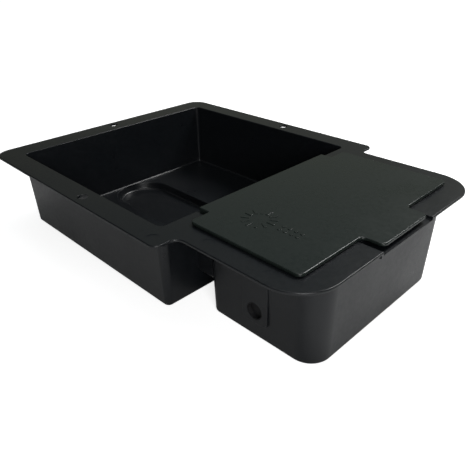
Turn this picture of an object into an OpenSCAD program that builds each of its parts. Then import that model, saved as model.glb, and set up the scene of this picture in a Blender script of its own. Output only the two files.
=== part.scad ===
// Livestock water trough: a square drinking basin and a lidded float compartment in one
// moulding, with a brass float valve, its arm and float, and two rubber plugs.
// X runs along the length (basin at -X), Y from front to back, Z up from the ground.

/* [Overall] */
// Overall length of the flange
length = 700; // [600:1:860]
// Overall width of the flange at the basin
width = 500; // [410:1:620]
// Height of the flange top above the ground
height = 150; // [125:1:185]
// Wall thickness of the moulding
wall = 4; // [3:0.1:5]
// Thickness of the flange
flange_t = 4; // [3:0.1:6]
// Draft of the walls, in degrees
draft = 1.8; // [0.5:0.1:3]

/* [Flange] */
// Length of the narrower flange around the float compartment
tank_flange_len = 210; // [200:1:240]
// Depth of the step where the flange narrows
notch = 37; // [15:1:45]
// Corner radius at the basin end
end_corner_r = 30; // [10:1:45]
// Corner radius at the float end
tank_flange_r = 60; // [20:1:70]
// Corner and fillet radius at the step
notch_r = 12; // [5:1:14]
// Diameter of the fixing holes in the flange
fixing_d = 16; // [8:0.5:20]
// Distance of the fixing holes from the flange edge
fixing_inset = 17; // [12:0.5:20]
// Distance from the flange's basin end to the fixing holes in its front and back
fixing_run = 290; // [100:1:320]
// Depth of the round marks in the flange top
mark_depth = 0.8; // [0.3:0.1:1.5]

/* [Basin] */
// Flange width beside the basin at its end
end_border = 45; // [35:1:60]
// Flange width beside the basin at its front and back
side_border = 39; // [30:1:50]
// Inner corner radius of the basin
basin_r = 9; // [6:1:25]
// Fillet between the basin's floor and walls
basin_fillet = 4; // [4:1:12]

/* [Sump] */
// Depth of the sump below the basin floor
sump_depth = 15; // [8:1:40]
// Width of the obround sump
sump_w = 116; // [80:1:140]
// Gap between the sump's ends and the basin's inner walls
sump_end_gap = 4; // [2:1:60]
// Diameter of the drain hole
drain_d = 36; // [20:1:50]

/* [Float compartment] */
// Clear gap between the basin's wall and the compartment's wall
tank_gap = 26; // [20:1:34]
// Width of the flange outside the compartment's end wall
tank_end_border = 20; // [16:1:30]
// Distance from the basin flange's front edge to the compartment's front wall
tank_side_border = 90; // [75:1:100]
// Outer corner radius at the compartment's far end
tank_r = 38; // [20:1:45]
// Outer corner radius at the compartment's basin end
tank_near_r = 18; // [10:1:30]
// Fillet between the compartment's floor and walls
tank_fillet = 5; // [5:1:12]
// Width of the shelf over the compartment's end wall that carries the lid
shelf_w = 20; // [10:1:30]
// Depth of the water channel below the flange top
channel_depth = 100; // [60:1:110]
// Distance from the compartment's side walls to the channel's side walls
channel_inset = 6; // [3:1:40]

/* [Lid] */
// Thickness of the lid plate
lid_t = 4.2; // [3:0.1:6]
// Height of the lid plate's underside above the flange
lid_lift = 1.3; // [0.8:0.1:3]
// How far the lid passes the opening at its front and back
lid_overlap = 23; // [12:1:26]
// Corner radius of the lid
lid_r = 9; // [4:1:20]
// Width of the lifting tab
tab_w = 112; // [60:1:150]
// How far the tab stands out past the lid
tab_len = 32; // [20:1:34]
// Width of the finger recess under the tab
recess_w = 126; // [80:1:170]
// Depth of the finger recess
recess_depth = 5; // [3:0.5:8]
// Diameter of the lid's hinge stubs
hinge_d = 8; // [5:0.5:10]
// Depth of the hinge axis below the flange top
hinge_drop = 8; // [7:0.5:12]

/* [Inlet] */
// Height of the inlet centre above the ground
inlet_z = 47.5; // [44:0.5:70]
// Distance from the inlet centre to the compartment's end wall
inlet_from_end = 104; // [70:1:120]
// Thread diameter of the valve shank
shank_d = 26.4; // [20:0.1:32]
// Width of the flat inlet pads
pad_w = 46; // [42:1:60]
// Length of the shank outside the wall
shank_out = 32; // [20:1:40]
// Width across the flats of the lock nut
nut_af = 36; // [34:1:46]
// Thickness of the lock nut
nut_t = 9; // [6:0.5:12]
// Thickness of the sealing washers
washer_t = 2; // [1.5:0.1:4]

/* [Float valve] */
// Piston diameter
piston_d = 16; // [12:0.5:18]
// Outer diameter of the valve's barrel
barrel_d = 27; // [24:0.5:32]
// Orifice of the nozzle
orifice_d = 5; // [3:0.5:7]
// Distance from the piston axis down to the lever pivot
pivot_drop = 18; // [16:0.5:20]
// Distance from the pivot to the stub's round head
stub_r = 14; // [12.5:0.5:15]
// Diameter of the pivot pin
pivot_d = 5; // [4:0.5:6]
// Swing of the lever between open and shut, in degrees
lever_swing = 22; // [10:1:22]
// Angle of the float rod above level when the valve is open, in degrees
rod_rise = 5; // [0:1:8]
// Diameter of the float rod
rod_d = 8; // [6:0.5:10]

/* [Float] */
// Diameter of the barrel-shaped float
float_d = 72; // [60:1:80]
// Length of the float
float_len = 140; // [100:1:150]
// Shell thickness of the float
float_wall = 2; // [1.5:0.1:3]
// Distance from the float to the compartment's front wall
float_gap = 72; // [20:1:90]

/* [Hidden] */
$fn = 64;
eps = 0.01;
cut = 1;
// Facets on the corners of drafted pockets
corner_fn = 32;
// Clearance of a running fit, on the radius
run_fit = 0.05;
// Clearance of a loose fit, on the radius
loose_fit = 0.3;
// Gap between faces of pieces that move against each other
face_gap = 0.3;

slope = tan(draft);
x_end = -length / 2;
x_far = length / 2;

// Basin, at the level of the flange top
basin_flange_x = x_far - tank_flange_len;
tank_x1 = x_far - tank_end_border;
tank_x0 = basin_flange_x - 8;
basin_x0 = x_end + end_border;
basin_x1 = tank_x0 - tank_gap - wall;
basin_half = width / 2 - side_border;
basin_z = wall + sump_depth;

// Float compartment, outer faces at the level of the flange top
tank_half = width / 2 - tank_side_border;
tank_flange_half = width / 2 - notch;
tank_in_half = tank_half - wall;
open_x0 = tank_x0 + wall;
open_x1 = tank_x1 - wall - shelf_w;
open_half = tank_in_half;
open_r = 14;
channel_half = tank_in_half - channel_inset - wall;
channel_z = height - channel_depth;
channel_r = 10;

// Sump
sump_r = sump_w / 2;
sump_x0 = basin_x0 + sump_end_gap + sump_r;
sump_x1 = basin_x1 - sump_end_gap - sump_r;
drain_x = sump_x1 - 10;

// Lid
lid_z0 = height + lid_lift;
lid_z1 = lid_z0 + lid_t;
lid_x0 = tank_x0 - 8;
lid_x1 = open_x1 + 8;
lid_half = open_half + lid_overlap;
tongue_gap = 3;
tongue_half = channel_half - tongue_gap;
tongue_x0 = basin_x1 + 1;
tab_fillet = 8;
rib_t = 3;
rib_gap = 3;
rib_drop = 7;
bead_w = 3;
bead_inset = 3;
recess_x0 = lid_x1 - 1;
recess_wall = 4;

// Lid hinge
hinge_x = basin_x1 + 10;
hinge_z = height - hinge_drop;
hinge_lug_r = 7;
hinge_lug_t = 5;
hinge_boss_r = 8;
hinge_boss_t = 7;
hinge_fit = 0.1;

// Inlet
inlet_x = tank_x1 - inlet_from_end;
pad_face = tank_half - 0.5;
pad_below = 19.5;
pad_r = 8;
seat_face = tank_in_half - slope * (height - inlet_z) - 1;
seat_d = 46;
inlet_hole_d = shank_d + 0.6;
shank_y1 = pad_face + shank_out;
shank_wall = 4.2;
shank_bore_d = shank_d - 2 * shank_wall;
// Undercut between the lock nut's thread and the supply thread
groove_w = 2;
groove_depth = 1;
groove_y0 = pad_face + washer_t + nut_t + 0.5;

// Valve, along Y from the back wall into the compartment
body_flange_t = 4;
body_flange_rim = 6;
body_flange_d = shank_d + 2 * body_flange_rim;
body_y1 = seat_face - washer_t;
body_y0 = body_y1 - body_flange_t;
barrel_len = 33.5;
barrel_y0 = body_y0 - barrel_len;
piston_bore_y1 = body_y0 - 12;
nozzle_tip_y = piston_bore_y1 - 4;
nozzle_d = 12;
travel = stub_r * lever_swing * PI / 180;
seal_t = 3;
seal_d = 11;
seal_face_y = nozzle_tip_y - face_gap - travel;
piston_y1 = seal_face_y - 1;
pivot_y = barrel_y0 - 7.5;
pivot_z = inlet_z - pivot_drop;
piston_len = piston_y1 - pivot_y + 8.5;
cheek_in = 4.3;
cheek_t = 4;
cheek_r = 7;
outlet_d = 9;

// Lever, rod and float: distances along the rod are measured from the pivot
hub_r = 6;
hub_half = cheek_in - face_gap;
stub_neck = 3;
stub_head_r = 3.1;
stub_half = 3;
slot_play = 0.4;
socket_s0 = 22;
socket_len = 30;
socket_d = rod_d + 7;
bar_h = 7;
arm_len = pivot_y + tank_in_half - float_gap - float_d / 2;
float_boss_d = 20;
float_boss_len = 10;
float_s = arm_len - float_d / 2 - float_boss_len;
rod_s0 = socket_s0 + 6;
rod_s1 = float_s + float_boss_len + 8;
rod_nut_t = 5;
rod_nut_af = 13;
rod_washer_t = 1.6;
screw_d = 5;
screw_len = 11;

black = [0.05, 0.055, 0.06];
rubber = [0.03, 0.03, 0.03];
brass = [0.72, 0.55, 0.25];
steel = [0.66, 0.67, 0.68];
plastic = [0.85, 0.45, 0.12];

// Flat outline with its own corner radius at each end, symmetric about Y = 0
module outline(x0, x1, half, r0, r1) {
    translate([x0 + r0, -half])
        square([x1 - x0 - r0 - r1, 2 * half]);
    translate([x0, -half + r0])
        square([r0 + eps, 2 * half - 2 * r0]);
    translate([x1 - r1 - eps, -half + r1])
        square([r1 + eps, 2 * half - 2 * r1]);
    for (s = [-1, 1]) {
        translate([x0 + r0, s * (half - r0)])
            circle(r = r0);
        translate([x1 - r1, s * (half - r1)])
            circle(r = r1);
    }
}

// Slab of such an outline
module slab(x0, x1, half, r0, r1, z0, z1) {
    translate([0, 0, z0])
        linear_extrude(z1 - z0)
            outline(x0, x1, half, r0, r1);
}

// Inner fillet between a wall facing +X and a wall facing out along Y
module fillet(x, y, r, sy) {
    difference() {
        translate([x - eps, sy > 0 ? y - eps : y - r])
            square([r + eps, r + eps]);
        translate([x + r, y + sy * r])
            circle(r = r);
    }
}

// Foot of a drafted corner: radius r in plan, f up the wall
module corner_foot(r, f) {
    rotate_extrude($fn = corner_fn)
        intersection() {
            translate([r - f, 0])
                circle(r = f, $fn = corner_fn);
            translate([0, -f])
                square([r, 2 * f]);
        }
}

// Drafted pocket: sizes at z_top, narrowing down to z0, with filleted foot
module pocket(x0, x1, half, r0, r1, f, z0, z_top) {
    d = slope * (z_top - z0);
    hull() {
        for (s = [-1, 1]) {
            translate([x0 + r0, s * (half - r0), z_top - 1])
                cylinder(r = r0, h = 1, $fn = corner_fn);
            translate([x1 - r1, s * (half - r1), z_top - 1])
                cylinder(r = r1, h = 1, $fn = corner_fn);
            translate([x0 + d + r0, s * (half - d - r0), z0 + f])
                corner_foot(r0, f);
            translate([x1 - d - r1, s * (half - d - r1), z0 + f])
                corner_foot(r1, f);
        }
    }
}

// Obround pocket with sloping sides
module obround(x0, x1, r_top, r_bottom, z0, z1) {
    hull()
        for (x = [x0, x1])
            translate([x, 0, z0])
                cylinder(r1 = r_bottom, r2 = r_top, h = z1 - z0, $fn = 2 * corner_fn);
}

// Cylinder along Y from y0 to y1
module bar_y(x, z, d, y0, y1) {
    translate([x, y0, z])
        rotate([-90, 0, 0])
            cylinder(d = d, h = y1 - y0);
}

// Hexagon prism along Y
module hex_y(x, z, af, y0, y1) {
    translate([x, y0, z])
        rotate([-90, 0, 0])
            rotate(30)
                cylinder(d = af / cos(30), h = y1 - y0, $fn = 6);
}

module flange_outline() {
    outline(x_end, basin_flange_x, width / 2, end_corner_r, notch_r);
    outline(basin_flange_x - 60, x_far, tank_flange_half, 1, tank_flange_r);
    fillet(basin_flange_x, tank_flange_half, notch_r, 1);
    fillet(basin_flange_x, -tank_flange_half, notch_r, -1);
}

module fixing_holes() {
    for (s = [-1, 1])
        translate([x_end + fixing_run, s * (width / 2 - fixing_inset), height - flange_t - cut])
            cylinder(d = fixing_d, h = flange_t + 2 * cut);
    translate([x_end + fixing_inset, 0, height - flange_t - cut])
        cylinder(d = fixing_d, h = flange_t + 2 * cut);
}

// Round marks: distance from the step, distance from the front edge, diameter
module flange_marks() {
    for (m = [[-22, 14.5, 21], [39, 55, 21], [145, 52, 28]])
        translate([basin_flange_x + m[0], m[1] - width / 2, height - mark_depth])
            cylinder(d = m[2], h = mark_depth + cut);
}

module channel_cut(grow, z_top) {
    x0 = basin_x1 - 8;
    len = open_x0 + 8 - x0;
    r = channel_r + grow;
    half = channel_half + grow;
    z0 = channel_z - grow;
    translate([x0, 0, 0])
        rotate([90, 0, 90])
            linear_extrude(len)
                difference() {
                    translate([-half, z0])
                        square([2 * half, z_top - z0]);
                    for (s = [-1, 1])
                        difference() {
                            translate([s * half - r, z0 - r])
                                square([2 * r, 2 * r]);
                            translate([s * (half - r), z0 + r])
                                circle(r = r);
                        }
                }
}

// Flat pad for the inlet on the outside of a side wall
module inlet_pad() {
    z0 = inlet_z - pad_below;
    depth = 10;
    translate([inlet_x, pad_face, 0])
        rotate([90, 0, 0])
            linear_extrude(depth) {
                translate([-pad_w / 2, z0 + pad_r])
                    square([pad_w, height - flange_t / 2 - z0 - pad_r]);
                translate([-pad_w / 2 + pad_r, z0])
                    square([pad_w - 2 * pad_r, pad_r + eps]);
                for (s = [-1, 1])
                    translate([s * (pad_w / 2 - pad_r), z0 + pad_r])
                        circle(r = pad_r);
            }
}

module recess_block() {
    translate([recess_x0 - recess_wall, -recess_w / 2 - recess_wall, height - recess_depth - flange_t])
        cube([x_far - recess_x0 + recess_wall, recess_w + 2 * recess_wall, recess_depth + flange_t]);
}

module hinge_bosses() {
    for (s = [-1, 1])
        scale([1, s, 1]) {
            bar_y(hinge_x, hinge_z, 2 * hinge_boss_r, channel_half, channel_half + hinge_boss_t);
            translate([hinge_x - hinge_boss_r, channel_half, hinge_z])
                cube([2 * hinge_boss_r, hinge_boss_t, hinge_drop - flange_t / 2]);
        }
}

module tub_outside() {
    translate([0, 0, height - flange_t])
        linear_extrude(flange_t)
            flange_outline();
    pocket(basin_x0 - wall, basin_x1 + wall, basin_half + wall, basin_r + wall, basin_r + wall,
        basin_fillet, basin_z - wall, height - flange_t / 2);
    pocket(tank_x0, tank_x1, tank_half, tank_near_r, tank_r, tank_fillet, 0,
        height - flange_t / 2);
    obround(sump_x0, sump_x1, sump_r + wall, sump_r, 0, basin_z);
    channel_cut(wall, height - flange_t / 2);
    for (s = [-1, 1])
        scale([1, s, 1])
            inlet_pad();
    recess_block();
    hinge_bosses();
}

module tank_inside() {
    difference() {
        pocket(open_x0, tank_x1 - wall, tank_in_half, tank_near_r - wall, tank_r - wall,
            tank_fillet - wall, wall, height - flange_t);
        recess_block();
        for (s = [-1, 1])
            scale([1, s, 1])
                bar_y(inlet_x, inlet_z, seat_d, seat_face, tank_half);
    }
}

module tub() {
    color(black)
        difference() {
            tub_outside();
            translate([0, 0, cut])
                pocket(basin_x0, basin_x1, basin_half, basin_r, basin_r, basin_fillet,
                    basin_z - cut, height);
            obround(sump_x0, sump_x1, sump_r, sump_r - wall, wall, basin_z + eps);
            tank_inside();
            slab(open_x0, open_x1, open_half, open_r, open_r, height - flange_t - cut, height + cut);
            channel_cut(0, height + cut);
            for (s = [-1, 1])
                scale([1, s, 1]) {
                    bar_y(inlet_x, inlet_z, inlet_hole_d, seat_face - cut, pad_face + cut);
                    bar_y(hinge_x, hinge_z, hinge_d + 2 * hinge_fit, channel_half - cut,
                        channel_half + hinge_boss_t + cut);
                }
            translate([recess_x0, -recess_w / 2, height - recess_depth])
                cube([x_far - recess_x0 + cut, recess_w, recess_depth + cut]);
            translate([drain_x, 0, -cut])
                cylinder(d = drain_d, h = wall + 2 * cut);
            fixing_holes();
            flange_marks();
        }
}

module lid_outline() {
    outline(lid_x0, lid_x1, lid_half, lid_r, lid_r);
    outline(tongue_x0, lid_x0 + 20, tongue_half, 2, 1);
    outline(lid_x1 - 20, lid_x1 + tab_len, tab_w / 2, 1, lid_r);
    fillet(lid_x1, tab_w / 2, tab_fillet, 1);
    fillet(lid_x1, -tab_w / 2, tab_fillet, -1);
}

// Locating rib that hangs into the opening, and the bead that rests on the flange
module lid_ribs() {
    difference() {
        slab(open_x0 + rib_gap, open_x1 - rib_gap, open_half - rib_gap, open_r - rib_gap,
            open_r - rib_gap, height - rib_drop, lid_z0 + eps);
        slab(open_x0 + rib_gap + rib_t, open_x1 - rib_gap - rib_t, open_half - rib_gap - rib_t,
            open_r - rib_gap - rib_t, open_r - rib_gap - rib_t, height - rib_drop - cut, lid_z0 + cut);
    }
    difference() {
        slab(lid_x0 + bead_inset, lid_x1 - bead_inset, lid_half - bead_inset, lid_r - bead_inset,
            lid_r - bead_inset, height + face_gap, lid_z0 + eps);
        slab(lid_x0 + bead_inset + bead_w, lid_x1 - bead_inset - bead_w,
            lid_half - bead_inset - bead_w, 1, 1, height, lid_z0 + cut);
    }
}

module lid_hinge_lugs() {
    for (s = [-1, 1])
        scale([1, s, 1]) {
            bar_y(hinge_x, hinge_z, 2 * hinge_lug_r, tongue_half - hinge_lug_t, tongue_half);
            translate([hinge_x - hinge_lug_r, tongue_half - hinge_lug_t, hinge_z])
                cube([2 * hinge_lug_r, hinge_lug_t, lid_z0 - hinge_z + eps]);
            bar_y(hinge_x, hinge_z, hinge_d, tongue_half - eps, channel_half + hinge_boss_t);
        }
}

// Plain raised relief: a ring of short bars and a block of round pips
module lid_relief() {
    ring_r = 20;
    bar_len = 12;
    bar_w = 4;
    rise = 0.8;
    pip_d = 6;
    pitch = 10;
    relief_x = lid_x0 + 65;
    relief_y = -lid_half + 69;
    for (a = [0:30:330])
        translate([relief_x, relief_y, lid_z1 - eps])
            rotate(a)
                translate([ring_r - bar_len / 2, -bar_w / 2, 0])
                    cube([bar_len, bar_w, rise]);
    for (i = [0:3], j = [0:1])
        translate([relief_x + 38 + pitch * i, relief_y - 4 + pitch * j, lid_z1 - eps])
            cylinder(d = pip_d, h = rise);
}

module lid() {
    color(black)
        union() {
            translate([0, 0, lid_z0])
                linear_extrude(lid_t)
                    lid_outline();
            lid_ribs();
            lid_hinge_lugs();
            lid_relief();
        }
}

// Cup pushed into the unused inlet from inside, open towards the outside
module blanking_plug() {
    plug_wall = 1.5;
    floor_t = 4;
    rim = 6;
    color(rubber)
        scale([1, -1, 1])
            difference() {
                union() {
                    bar_y(inlet_x, inlet_z, inlet_hole_d, seat_face - eps, pad_face - 0.5);
                    bar_y(inlet_x, inlet_z, inlet_hole_d + 2 * rim, seat_face - floor_t, seat_face);
                }
                bar_y(inlet_x, inlet_z, inlet_hole_d - 2 * plug_wall, seat_face + 1, pad_face + cut);
            }
}

module drain_plug() {
    z0 = wall + face_gap;
    rim = 5;
    rim_t = 3;
    knob_d = 18;
    knob_h = 16;
    finger_hole_d = 6;
    color(rubber)
        translate([drain_x, 0, 0])
            difference() {
                union() {
                    translate([0, 0, 0.8])
                        cylinder(d = drain_d - 2 * loose_fit, h = wall);
                    translate([0, 0, z0])
                        cylinder(d = drain_d + 2 * rim, h = rim_t);
                    translate([0, 0, z0])
                        cylinder(d = knob_d, h = knob_h);
                }
                translate([0, -knob_d, z0 + knob_h - finger_hole_d])
                    rotate([-90, 0, 0])
                        cylinder(d = finger_hole_d, h = 2 * knob_d);
            }
}

module valve_body() {
    color(brass)
        difference() {
            union() {
                bar_y(inlet_x, inlet_z, shank_d, body_y1 - eps, shank_y1);
                bar_y(inlet_x, inlet_z, body_flange_d, body_y0, body_y1);
                bar_y(inlet_x, inlet_z, barrel_d, barrel_y0, body_y0 + eps);
                for (s = [-1, 1])
                    valve_cheek(s);
            }
            bar_y(inlet_x, inlet_z, piston_d + 2 * run_fit, barrel_y0 - cut, piston_bore_y1);
            bar_y(inlet_x, inlet_z, nozzle_d + 2 * run_fit, piston_bore_y1 - cut, body_y0 + cut);
            bar_y(inlet_x, inlet_z, shank_bore_d, body_y0, shank_y1 + cut);
            washer_y(shank_d + 2, shank_d - 2 * groove_depth, groove_y0, groove_y0 + groove_w);
            translate([inlet_x, (seal_face_y + nozzle_tip_y) / 2 + 1, inlet_z - barrel_d])
                cylinder(d = outlet_d, h = barrel_d);
            translate([inlet_x - cheek_in - 10, pivot_y, pivot_z])
                rotate([0, 90, 0])
                    cylinder(d = pivot_d + 2 * run_fit, h = 2 * cheek_in + 20);
        }
}

// Cheek that carries the lever's pin in front of the barrel
module valve_cheek(s) {
    x0 = inlet_x + (s > 0 ? cheek_in : -cheek_in - cheek_t);
    top = inlet_z - piston_d / 2 - 1;
    translate([x0, pivot_y, pivot_z])
        rotate([0, 90, 0])
            cylinder(r = cheek_r, h = cheek_t);
    translate([x0, pivot_y - cheek_r, pivot_z])
        cube([cheek_t, barrel_y0 + 12 - pivot_y + cheek_r, top - pivot_z]);
    translate([x0, pivot_y, pivot_z - cheek_r])
        cube([cheek_t, barrel_y0 + 12 - pivot_y, top - pivot_z + cheek_r]);
}

module inlet_nozzle() {
    color(plastic)
        difference() {
            union() {
                bar_y(inlet_x, inlet_z, nozzle_d, nozzle_tip_y + 2, body_y0 + eps);
                translate([inlet_x, nozzle_tip_y, inlet_z])
                    rotate([-90, 0, 0])
                        cylinder(d1 = orifice_d + 2.4, d2 = nozzle_d, h = 2 + eps);
                bar_y(inlet_x, inlet_z, shank_bore_d - 2 * run_fit, body_y0, body_y0 + 2);
            }
            bar_y(inlet_x, inlet_z, orifice_d, nozzle_tip_y - cut, body_y0 + 2 + cut);
        }
}

module inlet_strainer() {
    rim_y = shank_y1 - 4;
    basket_d = shank_bore_d - 4;
    basket_y0 = body_y0 + 8;
    slots = 8;
    color(steel)
        difference() {
            union() {
                bar_y(inlet_x, inlet_z, shank_bore_d - 2 * run_fit, rim_y, rim_y + 2);
                bar_y(inlet_x, inlet_z, basket_d, basket_y0, rim_y + eps);
            }
            bar_y(inlet_x, inlet_z, basket_d - 2.4, basket_y0 + 1.5, rim_y + 2 + cut);
            for (i = [0:slots / 2 - 1])
                translate([inlet_x, 0, inlet_z])
                    rotate([0, i * 360 / slots, 0])
                        translate([-basket_d, basket_y0 + 5, -1])
                            cube([2 * basket_d, rim_y - basket_y0 - 10, 2]);
        }
}

module washer_y(d, bore, y0, y1) {
    difference() {
        bar_y(inlet_x, inlet_z, d, y0, y1);
        bar_y(inlet_x, inlet_z, bore, y0 - cut, y1 + cut);
    }
}

module inner_washer() {
    color(rubber)
        washer_y(body_flange_d, shank_d + 2 * run_fit, body_y1, seat_face);
}

module outer_washer() {
    color(rubber)
        washer_y(body_flange_d, shank_d + 2 * run_fit, pad_face, pad_face + washer_t);
}

module lock_nut() {
    y0 = pad_face + washer_t;
    color(brass)
        difference() {
            union() {
                hex_y(inlet_x, inlet_z, nut_af, y0 + 1, y0 + nut_t);
                bar_y(inlet_x, inlet_z, nut_af - 1, y0, y0 + 1 + eps);
            }
            bar_y(inlet_x, inlet_z, shank_d + 2 * run_fit, y0 - cut, y0 + nut_t + cut);
        }
}

module piston() {
    y0 = piston_y1 - piston_len;
    mid_y = pivot_y - travel / 2;
    slot = 2 * (stub_head_r + slot_play);
    color(plastic)
        difference() {
            bar_y(inlet_x, inlet_z, piston_d, y0, piston_y1 + 1);
            bar_y(inlet_x, inlet_z, seal_d + 2 * run_fit, seal_face_y - seal_t, seal_face_y + cut);
            translate([inlet_x - stub_half - 0.6, mid_y - slot / 2, inlet_z - piston_d])
                cube([2 * stub_half + 1.2, slot, piston_d + 1.5]);
        }
}

module piston_seal() {
    color(rubber)
        bar_y(inlet_x, inlet_z, seal_d, seal_face_y - seal_t, seal_face_y);
}

// Places its children at the pivot with +X of the child frame along the float rod
module along_rod() {
    translate([inlet_x, pivot_y, pivot_z])
        rotate([0, 0, -90])
            rotate([0, -rod_rise, 0])
                children();
}

module rod_x(d, s0, s1) {
    translate([s0, 0, 0])
        rotate([0, 90, 0])
            cylinder(d = d, h = s1 - s0);
}

module lever_arm() {
    lean = lever_swing / 2;
    step = 0.4;
    color(brass)
        difference() {
            union() {
                translate([inlet_x - hub_half, pivot_y, pivot_z])
                    rotate([0, 90, 0])
                        cylinder(r = hub_r, h = 2 * hub_half);
                translate([inlet_x, pivot_y, pivot_z])
                    rotate([lean, 0, 0]) {
                        translate([-stub_half + step, -stub_neck / 2, 0])
                            cube([2 * stub_half - 2 * step, stub_neck, stub_r]);
                        translate([-stub_half, 0, stub_r])
                            rotate([0, 90, 0])
                                cylinder(r = stub_head_r, h = 2 * stub_half);
                    }
                along_rod() {
                    translate([0, -hub_half + step, -bar_h / 2 - 1])
                        cube([socket_s0 + 4, 2 * hub_half - 2 * step, bar_h]);
                    rod_x(socket_d, socket_s0, socket_s0 + socket_len);
                }
            }
            translate([inlet_x - hub_half - cut, pivot_y, pivot_z])
                rotate([0, 90, 0])
                    cylinder(d = pivot_d + 2 * run_fit, h = 2 * hub_half + 2 * cut);
            along_rod() {
                rod_x(rod_d + 2 * run_fit, rod_s0 - 1, socket_s0 + socket_len + cut);
                translate([socket_s0 + socket_len - 12, 0, 0])
                    cylinder(d = screw_d + 2 * run_fit, h = socket_d);
            }
        }
}

module pivot_pin() {
    half = cheek_in + cheek_t;
    head_d = pivot_d + 3.5;
    head_t = 2;
    tail = 5;
    split_d = 1.8;
    color(steel)
        translate([inlet_x, pivot_y, pivot_z])
            rotate([0, 90, 0])
                difference() {
                    union() {
                        translate([0, 0, -half])
                            cylinder(d = pivot_d, h = 2 * half + tail);
                        translate([0, 0, -half - head_t])
                            cylinder(d = head_d, h = head_t);
                    }
                    translate([-pivot_d, 0, half + tail / 2])
                        rotate([0, 90, 0])
                            cylinder(d = split_d, h = 2 * pivot_d);
                }
}

module split_pin() {
    wire = 1.6;
    eye = 2.4;
    reach = pivot_d / 2 + 4;
    color(steel)
        translate([inlet_x + cheek_in + cheek_t + 2.5, pivot_y, pivot_z])
            union() {
                translate([0, 0, -reach])
                    cylinder(d = wire, h = 2 * reach);
                translate([0, 0, reach + eye])
                    rotate([0, 90, 0])
                        rotate_extrude()
                            translate([eye, 0])
                                circle(d = wire);
            }
}

module rod_clamp_screw() {
    z0 = rod_d / 2;
    head_d = 11;
    head_t = 4;
    color(steel)
        along_rod()
            translate([socket_s0 + socket_len - 12, 0, z0])
                union() {
                    cylinder(d = screw_d, h = screw_len);
                    translate([0, 0, screw_len - head_t])
                        cylinder(d = head_d, h = head_t);
                }
}

module float_rod() {
    color(steel)
        along_rod()
            rod_x(rod_d, rod_s0, rod_s1);
}

module float_shape(d, len, dome) {
    translate([inlet_x - len / 2 + dome, 0, 0])
        rotate([0, 90, 0])
            cylinder(d = d, h = len - 2 * dome);
    for (s = [-1, 1])
        translate([inlet_x + s * (len / 2 - dome), 0, 0])
            rotate([0, s * 90, 0]) {
                cylinder(d1 = d, d2 = d - 2 * dome, h = dome);
            }
}

module float_at() {
    translate([0, pivot_y - arm_len * cos(rod_rise), pivot_z + arm_len * sin(rod_rise)])
        children();
}

module float() {
    dome = 12;
    color(plastic)
        difference() {
            union() {
                float_at()
                    difference() {
                        float_shape(float_d, float_len, dome);
                        float_shape(float_d - 2 * float_wall, float_len - 2 * float_wall, dome);
                    }
                along_rod()
                    rod_x(float_boss_d, float_s, float_s + float_boss_len + dome);
            }
            along_rod()
                rod_x(rod_d + 2 * run_fit, float_s - cut, rod_s1 + 1);
        }
}

module float_nut() {
    s1 = float_s - rod_washer_t;
    color(steel)
        along_rod()
            difference() {
                translate([s1 - rod_nut_t, 0, 0])
                    rotate([0, 90, 0])
                        cylinder(d = rod_nut_af / cos(30), h = rod_nut_t, $fn = 6);
                rod_x(rod_d + 2 * run_fit, s1 - rod_nut_t - cut, s1 + cut);
            }
}

module float_washer() {
    washer_d = 18;
    color(steel)
        along_rod()
            difference() {
                rod_x(washer_d, float_s - rod_washer_t, float_s);
                rod_x(rod_d + 2 * run_fit, float_s - rod_washer_t - cut, float_s + cut);
            }
}

tub();
lid();
blanking_plug();
drain_plug();
valve_body();
inlet_nozzle();
inlet_strainer();
inner_washer();
outer_washer();
lock_nut();
piston();
piston_seal();
lever_arm();
pivot_pin();
split_pin();
rod_clamp_screw();
float_rod();
float();
float_nut();
float_washer();
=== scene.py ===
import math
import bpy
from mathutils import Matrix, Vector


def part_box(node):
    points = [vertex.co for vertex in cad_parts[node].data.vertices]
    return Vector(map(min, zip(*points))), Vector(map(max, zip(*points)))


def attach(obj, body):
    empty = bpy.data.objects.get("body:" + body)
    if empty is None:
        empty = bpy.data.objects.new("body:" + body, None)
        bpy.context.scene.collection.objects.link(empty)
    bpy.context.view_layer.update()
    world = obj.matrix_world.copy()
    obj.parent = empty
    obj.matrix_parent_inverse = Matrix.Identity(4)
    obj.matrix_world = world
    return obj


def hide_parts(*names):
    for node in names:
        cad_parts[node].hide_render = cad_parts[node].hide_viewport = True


bl_info = {
    "name": "Livestock Water Trough",
    "version": (1, 0, 0),
    "blender": (4, 5, 0),
    "location": "View3D > Sidebar > Trough",
    "description": "Builds the tub, lid, plugs and float valve of a lidded drinking trough",
    "category": "Add Mesh",
}

import bmesh
import bpy
from mathutils import Matrix, Vector

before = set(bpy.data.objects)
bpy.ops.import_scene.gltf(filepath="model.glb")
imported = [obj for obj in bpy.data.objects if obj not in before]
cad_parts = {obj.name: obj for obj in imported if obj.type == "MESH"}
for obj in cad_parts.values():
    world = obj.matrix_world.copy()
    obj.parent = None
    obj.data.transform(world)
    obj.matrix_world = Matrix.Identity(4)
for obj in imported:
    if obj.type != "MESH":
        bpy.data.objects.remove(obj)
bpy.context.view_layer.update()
TROUGH_BODY = "trough"
LID_BODY = "lid"
ROUND_STEPS = 5
TINY = 0.00001


def node_box(node):
    """Lowest and highest corner of a CAD node."""
    low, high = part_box(node)
    return Vector(low), Vector(high)


TUB_LOW, TUB_HIGH = node_box("tub")
LID_LOW, LID_HIGH = node_box("lid")
SHANK_LOW, SHANK_HIGH = node_box("outer_washer")


# ---------------------------------------------------------------- settings


def length(name, description, default):
    """A length property in metres."""
    return bpy.props.FloatProperty(
        name=name, description=description, default=default, min=0.0, unit="LENGTH", precision=4
    )


def colour(name, description, default):
    """A colour property in linear RGB."""
    return bpy.props.FloatVectorProperty(
        name=name, description=description, default=default, size=3, min=0.0, max=1.0,
        subtype="COLOR"
    )


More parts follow.
